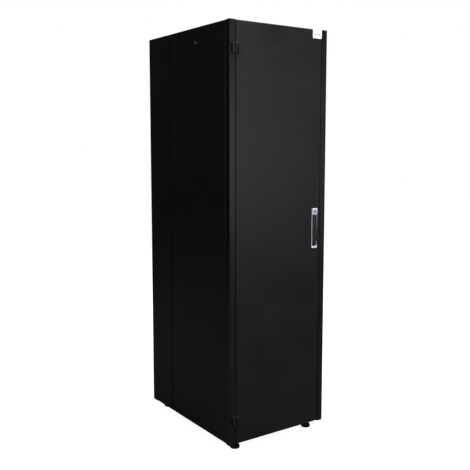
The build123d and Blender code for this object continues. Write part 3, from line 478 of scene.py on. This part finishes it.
# The cap and the lip at the ends of the handle: nearly white
CAP_PAINT = SilverPaint("pale_silver_lacquer_on_lock_cap")
# The rails inside: grey steel broken up by spangle
ZINC_SHEET = GalvanisedSteel("galvanised_rolled_steel")
# The bolts, pins and rods: a greyer, evenly bright metal
ZINC_FASTENER = PlatedZinc("bright_zinc_plated_steel", dark="#8f9297", light="#b9bcc2", roughness=0.32,
                           flow_mm=6.0)
# The seals: the dullest black on the cabinet
SEAL_RUBBER = Rubber("black_cellular_rubber_seal")
# The lever: a smooth black with a clear highlight along its hips
LEVER_COAT = MouldedPlastic("black_lacquer_on_die_cast_lever", dark="#121214", light="#1a1a1d",
                            roughness=0.3, grain_mm=0.5, depth_mm=0.005)
# The round cover over the lock: the one spot of violet grey
COVER_PLASTIC = MouldedPlastic("grey_violet_gloss_abs_cover", dark="#756e88", light="#8b849e",
                               roughness=0.2, depth_mm=0.002, coat=0.5)
# The feet and rod guides: a dull black with a visible mould grain
FOOT_PLASTIC = MouldedPlastic("black_glass_filled_nylon_foot", roughness=0.5, grain_mm=0.8, depth_mm=0.05)
# The blank label: flat white
LABEL_FILM = MouldedPlastic("white_polyester_label_film", dark="#f2f3f6", light="#fbfbfd",
                            roughness=0.32, grain_mm=0.5, depth_mm=0.002)
# The label's stripe: a pale violet band
STRIPE_FILM = MouldedPlastic("pale_violet_print_on_label_film", dark="#aaa4d2", light="#bdb8de",
                             roughness=0.35, grain_mm=0.4, depth_mm=0.002)
# The earth bar: the only warm metal
EARTH_BRASS = DrawnBrass("drawn_brass_earth_bar")

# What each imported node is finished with
NODE_FINISHES: dict[Finish, tuple[str, ...]] = {
    BODY_COAT: ("roof_panel", "rear_side_panel_left", "rear_side_panel_right", "front_door_skin",
                "rear_door_skin", "side_panel_left", "side_panel_right"),
    POST_COAT: ("front_post_left", "front_post_right", "hinge_blanks"),
    INNER_COAT: ("rear_post_left", "rear_post_right", "base_frame", "top_frame", "seam_uprights",
                 "floor_panel", "front_door_stiffeners", "rear_door_stiffeners", "gearbox_cover"),
    HINGE_COAT: ("post_hinge_leaves", "front_door_hinge_leaves", "rear_door_hinge_leaves", "side_lock_left",
                 "side_lock_right"),
    HANDLE_PLATE: ("handle_housing",),
    LEVER_COAT: ("handle_hub", "lever_pin"),
    LOCK_PLATE: ("rear_lock", "key_cylinder"),
    CAP_PAINT: ("lock_cap",),
    ZINC_SHEET: ("depth_rails", "front_mounting_rails", "rear_mounting_rails", "rod_keepers",
                 "side_lock_keepers"),
    ZINC_FASTENER: ("hinge_pins", "foot_inserts", "panel_screws", "front_rail_bolts", "rear_rail_bolts",
                    "handle_pinion", "upper_latch_rod", "lower_latch_rod"),
    FOOT_PLASTIC: ("rod_guides",),
    SEAL_RUBBER: ("front_door_gasket", "rear_door_gasket", "cable_entry_trims"),
    EARTH_BRASS: ("earth_bar",),
}

FOOT_NAMES = ("front_left", "front_right", "rear_left", "rear_right")


# Mesh helpers


@dataclass
class Solid:
    """A mesh under construction, in metres, that ends as one piece of the cabinet."""

    name: str
    body: str
    finish: Finish
    slot: str
    mesh: bmesh.types.BMesh = field(default_factory=bmesh.new)

    def add_box(self, low: Vector, high: Vector) -> list[bmesh.types.BMVert]:
        """Add a box between two corners.

        Args:
            low: the lowest corner.
            high: the highest corner.

        Returns:
            The box's vertices.
        """
        size = high - low
        place = Matrix.Translation((low + high) / 2) @ Matrix.Diagonal((*size, 1.0))
        return bmesh.ops.create_cube(self.mesh, size=1.0, matrix=place)["verts"]

    def add_turned(self, profile: list[tuple[float, float]], centre: Vector, axis: Axis,
                   steps: int) -> None:
        """Spin an outline of (radius, height) points round an axis to a closed turned shape.

        Args:
            profile: the outline's points, from the axis at one end to the axis at the other.
            centre: where the height is 0 on the axis.
            axis: the axis that the shape is turned about.
            steps: how many steps the turn has.
        """
        along = axis.vector
        aside = Vector((0.0, 1.0, 0.0)) if axis is Axis.X else Vector((1.0, 0.0, 0.0))
        verts = [self.mesh.verts.new(centre + aside * radius + along * height)
                 for radius, height in profile]
        edges = [self.mesh.edges.new(pair) for pair in zip(verts, verts[1:])]
        bmesh.ops.spin(self.mesh, geom=[*verts, *edges], cent=centre, axis=along, angle=math.tau,
                       steps=steps, use_merge=True)

    def round_edges(self, edges: list[bmesh.types.BMEdge], radius: float, segments: int = 3) -> None:
        """Round some edges.

        Args:
            edges: the edges to round.
            radius: the rounding's radius in metres.
            segments: how many faces the rounding has.
        """
        bmesh.ops.bevel(self.mesh, geom=edges, offset=radius, segments=segments, profile=0.5, affect="EDGES",
                        material=-1, clamp_overlap=True)

    def finished(self, smooth_angle: float = 35.0) -> bpy.types.Object:
        """Close the mesh, dress it and hang it on its body.

        Args:
            smooth_angle: edges sharper than this angle in degrees stay sharp.

        Returns:
            The piece's object.
        """
        bmesh.ops.remove_doubles(self.mesh, verts=self.mesh.verts, dist=1e-6)
        bmesh.ops.recalc_face_normals(self.mesh, faces=self.mesh.faces)
        for face in self.mesh.faces:
            face.smooth = True
        for edge in self.mesh.edges:
            if len(edge.link_faces) == 2 and edge.calc_face_angle() > math.radians(smooth_angle):
                edge.smooth = False
        data = bpy.data.meshes.new(self.name)
        self.mesh.to_mesh(data)
        self.mesh.free()
        piece = bpy.data.objects.new(self.name, data)
        bpy.context.scene.collection.objects.link(piece)
        data.materials.append(self.finish.material())
        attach(piece, self.body)
        return piece


def node_box(node: str) -> tuple[Vector, Vector]:
    """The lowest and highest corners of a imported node, as vectors."""
    low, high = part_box(node)
    return Vector(low), Vector(high)


# Sub-assemblies


@dataclass
class PackedPieces:
    """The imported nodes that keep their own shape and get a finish."""

    nodes: dict[str, bpy.types.Object]

    def dress(self) -> None:
        """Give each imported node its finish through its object's material slots."""
        for finish, names in NODE_FINISHES.items():
            for name in names:
                self.paint(self.nodes[name], finish)

    @staticmethod
    def paint(node: bpy.types.Object, finish: Finish) -> None:
        """Put a finish on every material slot of a node.

        Args:
            node: the node's object.
            finish: the finish that it gets.
        """
        if not node.material_slots:
            node.data.materials.append(finish.material())
        for place in node.material_slots:
            place.material = finish.material()


@dataclass
class SwingHandle:
    """The visible parts of the door's swing handle: the hipped lever, the lock's round cover and the lip."""

    ridge_width: float = 2.5 * MM
    shoulder: float = 0.45
    hip_length: float = 30.0 * MM
    edge_radius: float = 0.6 * MM
    grip_gap: float = 4.5 * MM
    eye_width: float = 15.6 * MM
    neck_overlap: float = 1.0 * MM
    # The neck's depth before and behind the pin, as shares of the eye's radius
    neck_front: float = 0.8
    neck_rear: float = 0.9
    cover_rim: float = 1.0 * MM
    ear_radius: float = 2.5 * MM
    ear_edge: float = 0.3 * MM
    stud_hole: float = 1.1 * MM
    lip_height: float = 9.0 * MM
    lip_proud: float = 2.6 * MM
    lip_inset: float = 0.6 * MM
    lip_sink: float = 0.4 * MM
    lip_edge: float = 0.35 * MM
    # How far the lip's upper edge stands out, as a share of its lower edge
    lip_taper: float = 0.35

    def build(self) -> None:
        """Build the lever, the lock cover and the lip under the lever."""
        self.build_lever()
        self.build_cover()
        self.build_lip()

    def build_lip(self) -> None:
        """A bright lip across the housing's foot, tapered towards the lever."""
        low, high = node_box("handle_housing")
        face = low.y
        lip = Solid("housing_lip", "front_door", CAP_PAINT, "chrome")
        lip.add_box(Vector((low.x + self.lip_inset, face - self.lip_proud, low.z + self.lip_inset)),
                    Vector((high.x - self.lip_inset, face + self.lip_sink, low.z + self.lip_height)))
        for vert in lip.mesh.verts:
            if vert.co.y < face and vert.co.z > low.z + self.lip_height / 2:
                vert.co.y = face - self.lip_proud * self.lip_taper
        lip.round_edges(list(lip.mesh.edges), self.lip_edge)
        lip.finished()

    def build_lever(self) -> None:
        """A lever with a hipped face, joined by a neck to the eye at its foot."""
        low, high = node_box("handle_lever")
        pin_low, pin_high = node_box("lever_pin")
        pin = (pin_low + pin_high) / 2
        lever = Solid("lever_grip", "handle_lever", LEVER_COAT, "lever_black")
        depth = high.y - low.y
        grip_low = Vector((low.x, high.y - depth * self.shoulder, pin.z + depth / 2 + self.grip_gap))
        lever.add_box(grip_low, high)
        front = min(lever.mesh.faces, key=lambda face: face.calc_center_median().y)
        inset = (high.x - low.x - self.ridge_width) / 2
        bmesh.ops.inset_region(lever.mesh, faces=[front], thickness=inset, use_even_offset=True)
        ridge = min(lever.mesh.faces, key=lambda face: (face.calc_center_median().y, face.calc_area()))
        middle = ridge.calc_center_median()
        length = high.z - grip_low.z
        stretch = (length - 2 * self.hip_length) / (length - 2 * inset)
        for vert in ridge.verts:
            vert.co = Vector((vert.co.x, low.y, middle.z + (vert.co.z - middle.z) * stretch))
        lever.round_edges(list(lever.mesh.edges), self.edge_radius)
        self.add_eye(lever, pin, depth / 2, grip_low.z)
        piece = lever.finished()
        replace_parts(piece, "handle_lever")

    def add_eye(self, lever: Solid, pin: Vector, radius: float, top: float) -> None:
        """Add the lever's eye round its pin, and the neck that joins it to the grip.

        Args:
            lever: the lever under construction.
            pin: the pin's middle.
            radius: the eye's radius.
            top: how high the grip starts.
        """
        half_width = self.eye_width / 2
        barrel = [(0.0, -half_width), (radius, -half_width), (radius, half_width), (0.0, half_width)]
        lever.add_turned(barrel, pin, Axis.X, 32)
        lever.add_box(Vector((pin.x - half_width, pin.y - radius * self.neck_front, pin.z)),
                      Vector((pin.x + half_width, pin.y + radius * self.neck_rear, top + self.neck_overlap)))

    def build_cover(self) -> None:
        """A round cover with a raised rim, a shallow dome and an ear round the cap's stud."""
        low, high = node_box("lock_cover")
        radius = (high.x - low.x) / 2
        depth = high.y - low.y
        centre = Vector(((low.x + high.x) / 2, high.y, low.z + radius))
        rim = self.cover_rim
        # The dome, then the groove inside the rim, then the rim; rises are shares of the cover's depth
        outline = [(0.0, -depth * 0.95), (radius * 0.55, -depth * 0.86),
                   (radius - 2.2 * rim, -depth * 0.62), (radius - 1.8 * rim, -depth * 0.6),
                   (radius - 1.4 * rim, -depth * 0.98), (radius - rim * 0.5, -depth),
                   (radius, -depth * 0.7), (radius, 0.0), (0.0, 0.0)]
        cover = Solid("lock_cover_disc", "lock_cover", COVER_PLASTIC, "cover_plastic")
        cover.add_turned(outline, centre, Axis.Y, 72)
        ear = Vector((centre.x, high.y, high.z - self.ear_radius))
        ring = [(self.stud_hole, 0.0), (self.ear_radius, 0.0), (self.ear_radius, -depth * 0.8),
                (self.ear_radius - self.ear_edge, -depth), (self.stud_hole, -depth),
                (self.stud_hole, 0.0)]
        cover.add_turned(ring, ear, Axis.Y, 32)
        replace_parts(cover.finished(50.0), "lock_cover")


@dataclass
class PanelLock:
    """The bright key face in the middle of a side panel's black lock."""

    side: str
    radius: float = 5.0 * MM
    proud: float = 0.8 * MM
    slot_depth: float = 0.5 * MM

    def build(self) -> None:
        """Build the key face on the lock's outer face."""
        low, high = node_box(f"side_lock_{self.side}")
        outward = -1.0 if self.side == "left" else 1.0
        outer = low.x if self.side == "left" else high.x
        centre = Vector((outer, (low.y + high.y) / 2, high.z - (high.y - low.y) / 2))
        rim, seat = self.radius, outward * self.proud
        slot = seat - outward * self.slot_depth
        # A disc sunk into the lock, with a bevelled edge and a round keyhole in its middle
        outline = [(0.0, -seat), (rim, -seat), (rim, seat * 0.6), (rim * 0.85, seat), (rim * 0.5, seat),
                   (rim * 0.4, slot), (0.0, slot)]
        face = Solid(f"key_face_{self.side}", f"side_lock_{self.side}", LOCK_PLATE, "chrome")
        face.add_turned(outline, centre, Axis.X, 48)
        face.finished(30.0)


@dataclass
class DoorLabel:
    """The blank plate in the door's upper corner: a white face with a pale stripe and no lettering."""

    corner_radius: float = 2.0 * MM
    stripe_height: float = 6.0 * MM
    stripe_inset: float = 4.0 * MM
    film: float = 0.12 * MM

    def build(self) -> None:
        """Build the plate and its stripe."""
        low, high = node_box("label_plate")
        plate = Solid("label_face", "front_door", LABEL_FILM, "label_white")
        plate.add_box(low + Vector((0.0, self.film, 0.0)), high)
        through = [edge for edge in plate.mesh.edges
                   if abs((edge.verts[0].co - edge.verts[1].co).y) > self.film]
        plate.round_edges(through, self.corner_radius, 5)
        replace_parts(plate.finished(), "label_plate")
        middle = (low.z + high.z) / 2
        stripe = Solid("label_stripe", "front_door", STRIPE_FILM, "label_white")
        half_height = self.stripe_height / 2
        stripe.add_box(Vector((low.x + self.stripe_inset, low.y, middle - half_height)),
                       Vector((high.x - self.stripe_inset, low.y + self.film, middle + half_height)))
        stripe.finished()


@dataclass
class LevellingFoot:
    """One foot: a moulded pad with a groove round its rim, and a threaded stud with its hexagon."""

    name: str
    pitch: float = 1.75 * MM
    thread_radius: float = 6.0 * MM
    thread_depth: float = 0.9 * MM
    hexagon_low: float = 19.0 * MM
    hexagon_high: float = 27.0 * MM
    hexagon_edge: float = 0.5 * MM
    softness: float = 2.5 * MM
    groove_depth: float = 0.6 * MM
    # The rim's height as a share of the pad's
    rim_share: float = 0.82

    def build(self) -> None:
        """Build the pad and the stud."""
        self.build_pad()
        self.build_stud()

    def build_pad(self) -> None:
        """A round pad with a stepped top and a soft lower edge."""
        low, high = node_box(f"foot_pad_{self.name}")
        radius = (high.x - low.x) / 2
        height = high.z - low.z
        centre = Vector(((low.x + high.x) / 2, (low.y + high.y) / 2, low.z))
        rim = height * self.rim_share
        soft, groove = self.softness, self.groove_depth
        # How far the middle of a quarter round lies from its corner, as a share of its radius
        round_middle = soft * 0.29
        lower_edge = [(0.0, 0.0), (radius - soft, 0.0), (radius - round_middle, round_middle),
                      (radius, soft)]
        rim_groove = [(radius, rim * 0.44), (radius - groove, rim * 0.47), (radius - groove, rim * 0.53),
                      (radius, rim * 0.56)]
        upper_edge = [(radius, rim - soft), (radius - round_middle, rim - round_middle),
                      (radius - soft, rim)]
        boss = [(radius * 0.53, rim + groove), (radius * 0.51, height - groove), (radius * 0.48, height)]
        socket = [(radius * 0.27, height), (radius * 0.26, height * 0.4), (0.0, height * 0.38)]
        outline = [*lower_edge, *rim_groove, *upper_edge, *boss, *socket]
        pad = Solid(f"pad_{self.name}", f"foot_pad_{self.name}", FOOT_PLASTIC, "foot_black")
        pad.add_turned(outline, centre, Axis.Z, 72)
        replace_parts(pad.finished(30.0), f"foot_pad_{self.name}")

    def build_stud(self) -> None:
        """A stud whose thread is cut as rings, which look the same however far it has turned."""
        node = f"foot_stud_{self.name}"
        low, high = node_box(node)
        centre = Vector(((low.x + high.x) / 2, (low.y + high.y) / 2, 0.0))
        radius = self.thread_radius
        outline = [(0.0, low.z), (radius, low.z), (radius, self.hexagon_high + self.pitch)]
        turns = int((high.z - self.hexagon_high - 2 * self.pitch) / self.pitch)
        for turn in range(turns):
            rise = self.hexagon_high + (turn + 1) * self.pitch
            outline += [(radius - self.thread_depth, rise + self.pitch / 2),
                        (radius, rise + self.pitch)]
        outline += [(radius - self.thread_depth, high.z), (0.0, high.z)]
        stud = Solid(f"stud_{self.name}", node, ZINC_FASTENER, "zinc_steel")
        stud.add_turned(outline, centre, Axis.Z, 32)
        half_flats = (high.y - low.y) / 2
        corner = half_flats / math.cos(math.pi / 6)
        middle = (self.hexagon_low + self.hexagon_high) / 2
        made = bmesh.ops.create_cone(stud.mesh, cap_ends=True, segments=6, radius1=corner, radius2=corner,
                                     depth=self.hexagon_high - self.hexagon_low,
                                     matrix=Matrix.Translation(centre + Vector((0.0, 0.0, middle))))
        edges = {edge for vert in made["verts"] for edge in vert.link_edges}
        stud.round_edges(list(edges), self.hexagon_edge, 2)
        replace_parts(stud.finished(30.0), node)


# Studio


@dataclass(frozen=True)
class Softbox:
    """A square soft light that looks at a point on the cabinet."""

    name: str
    place: tuple[float, float, float]
    target: tuple[float, float, float]
    size: float
    watts: float
    tint: tuple[float, float, float] = (0.93, 0.95, 1.0)

    def build(self) -> None:
        """Set the light up."""
        lamp = bpy.data.lights.new(self.name, "AREA")
        lamp.shape = "SQUARE"
        lamp.size = self.size
        lamp.energy = self.watts
        lamp.color = self.tint
        stand = bpy.data.objects.new(self.name, lamp)
        stand.location = self.place
        stand.visible_camera = False
        aim = Vector(self.target) - Vector(self.place)
        stand.rotation_mode = "QUATERNION"
        stand.rotation_quaternion = aim.to_track_quat("-Z", "Y")
        bpy.context.scene.collection.objects.link(stand)


@dataclass
class Studio:
    """A white room: a pale floor, soft lights and the camera."""

    floor_size: float = 40.0
    floor_paint: str = "#909090"
    # The glow close to the cabinet is a little dimmed, a painted shade round its feet, and rises to full
    # white between these two distances
    floor_glow: float = 0.96
    floor_glow_near: float = 0.9
    floor_glow_far: float = 2.5
    floor_felt: float = 0.09
    surround: float = 0.04
    surround_tint: tuple[float, float, float, float] = (0.9, 0.93, 1.0, 1.0)
    sensor_width: float = 36.0
    camera_place: tuple[float, float, float] = (-2.1121, -3.0627, 1.5025)
    camera_yaw: float = 34.634
    camera_pitch: float = -6.157
    lens: float = 52.5
    shift: float = -0.03
    lights: tuple[Softbox, ...] = (
        Softbox("door_sheen_box", (1.45, -2.8, 1.45), (-0.2, -0.4, 1.4), 1.5, 5.8),
        Softbox("edge_strip_box", (0.5, -3.4, 1.45), (-0.3, -0.4, 1.4), 0.8, 9.0),
        Softbox("left_front_box", (-3.6, -2.6, 1.7), (-0.3, -0.3, 1.4), 1.2, 26.0),
        Softbox("high_key_box", (0.6, -2.4, 5.6), (0.0, -0.4, 1.1), 2.2, 450.0),
        Softbox("overhead_box", (0.0, 0.6, 5.2), (0.0, 0.0, 0.0), 3.5, 120.0),
        Softbox("rear_right_box", (3.2, 3.2, 2.6), (0.0, 0.0, 1.0), 1.6, 60.0),
        Softbox("rear_sheen_box", (0.6, 4.0, 1.5), (0.0, 0.4, 1.3), 2.2, 14.0),
        Softbox("right_sheen_box", (3.6, -0.4, 1.5), (0.3, 0.0, 1.3), 2.0, 8.0),
    )

    def build(self) -> None:
        """Build the room round the cabinet."""
        self.build_floor()
        self.build_world()
        for light in self.lights:
            light.build()
        self.build_camera()

    def build_floor(self) -> None:
        """A pale floor that throws only a little light back at the cabinet."""
        mesh = bmesh.new()
        bmesh.ops.create_grid(mesh, x_segments=1, y_segments=1, size=self.floor_size / 2)
        data = bpy.data.meshes.new("floor")
        mesh.to_mesh(data)
        mesh.free()
        floor = bpy.data.objects.new("floor", data)
        bpy.context.scene.collection.objects.link(floor)
        paint = bpy.data.materials.new("white_floor_paint")
        paint.use_nodes = True
        tree = paint.node_tree
        tree.nodes.clear()
        place = add_node(tree, "ShaderNodeTexCoord").outputs["Object"]
        away = add_node(tree, "ShaderNodeVectorMath", {0: place}, operation="LENGTH").outputs["Value"]
        # The floor gives off most of its own white, so it is as pale far off as under the lights; its glow is
        # dimmed close to the cabinet, a painted shade round the feet, and a faint real shadow shows only
        # there
        level = add_node(tree, "ShaderNodeMapRange",
                         {"Value": away, "From Min": self.floor_glow_near, "From Max": self.floor_glow_far,
                          "To Min": self.floor_glow, "To Max": 1.0})
        glow = add_node(tree, "ShaderNodeEmission", {"Color": WHITE, "Strength": level.outputs[0]})
        matt = add_node(tree, "ShaderNodeBsdfDiffuse", {"Color": linear(self.floor_paint)})
        seen = add_node(tree, "ShaderNodeAddShader", {0: matt.outputs[0], 1: glow.outputs[0]})
        felt = add_node(tree, "ShaderNodeBsdfDiffuse", {"Color": (self.floor_felt,) * 3 + (1.0,)})
        ray = add_node(tree, "ShaderNodeLightPath").outputs["Is Camera Ray"]
        shader = add_node(tree, "ShaderNodeMixShader", {0: ray, 1: felt.outputs[0], 2: seen.outputs[0]})
        add_node(tree, "ShaderNodeOutputMaterial", {"Surface": shader.outputs[0]})
        data.materials.append(paint)

    def build_world(self) -> None:
        """White behind the cabinet, and a dim surround in its reflections."""
        world = bpy.data.worlds.new("white_room")
        world.use_nodes = True
        tree = world.node_tree
        tree.nodes.clear()
        seen = add_node(tree, "ShaderNodeBackground", {"Color": WHITE, "Strength": 1.0})
        felt = add_node(tree, "ShaderNodeBackground",
                        {"Color": self.surround_tint, "Strength": self.surround})
        ray = add_node(tree, "ShaderNodeLightPath").outputs["Is Camera Ray"]
        mixed = add_node(tree, "ShaderNodeMixShader", {0: ray, 1: felt.outputs[0], 2: seen.outputs[0]})
        add_node(tree, "ShaderNodeOutputWorld", {"Surface": mixed.outputs[0]})
        bpy.context.scene.world = world

    def build_camera(self) -> None:
        """Stand the camera off the front left corner, above the cabinet's middle, looking a little down."""
        data = bpy.data.cameras.new("camera")
        data.lens = self.lens
        data.sensor_width = self.sensor_width
        data.shift_y = self.shift
        camera = bpy.data.objects.new("camera", data)
        yaw, pitch = math.radians(self.camera_yaw), math.radians(self.camera_pitch)
        level = math.cos(pitch)
        look = Vector((math.sin(yaw) * level, math.cos(yaw) * level, math.sin(pitch)))
        camera.location = self.camera_place
        camera.rotation_mode = "QUATERNION"
        camera.rotation_quaternion = look.to_track_quat("-Z", "Y")
        bpy.context.scene.collection.objects.link(camera)
        bpy.context.scene.camera = camera
        bpy.context.scene.view_settings.view_transform = "Standard"


def main() -> None:
    """Build the cabinet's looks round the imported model."""
    logging.basicConfig(level=logging.INFO, format="%(message)s")
    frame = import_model()
    PackedPieces(frame["nodes"]).dress()
    LOG.info("finished the packed pieces")
    SwingHandle().build()
    LOG.info("built the swing handle")
    for side in ("left", "right"):
        PanelLock(side).build()
        LOG.info("built the %s panel lock's key face", side)
    DoorLabel().build()
    LOG.info("built the label")
    for name in FOOT_NAMES:
        LevellingFoot(name).build()
        LOG.info("built the foot %s", name)
    Studio().build()
    LOG.info("built the studio")


if __name__ == "__main__":
    main()
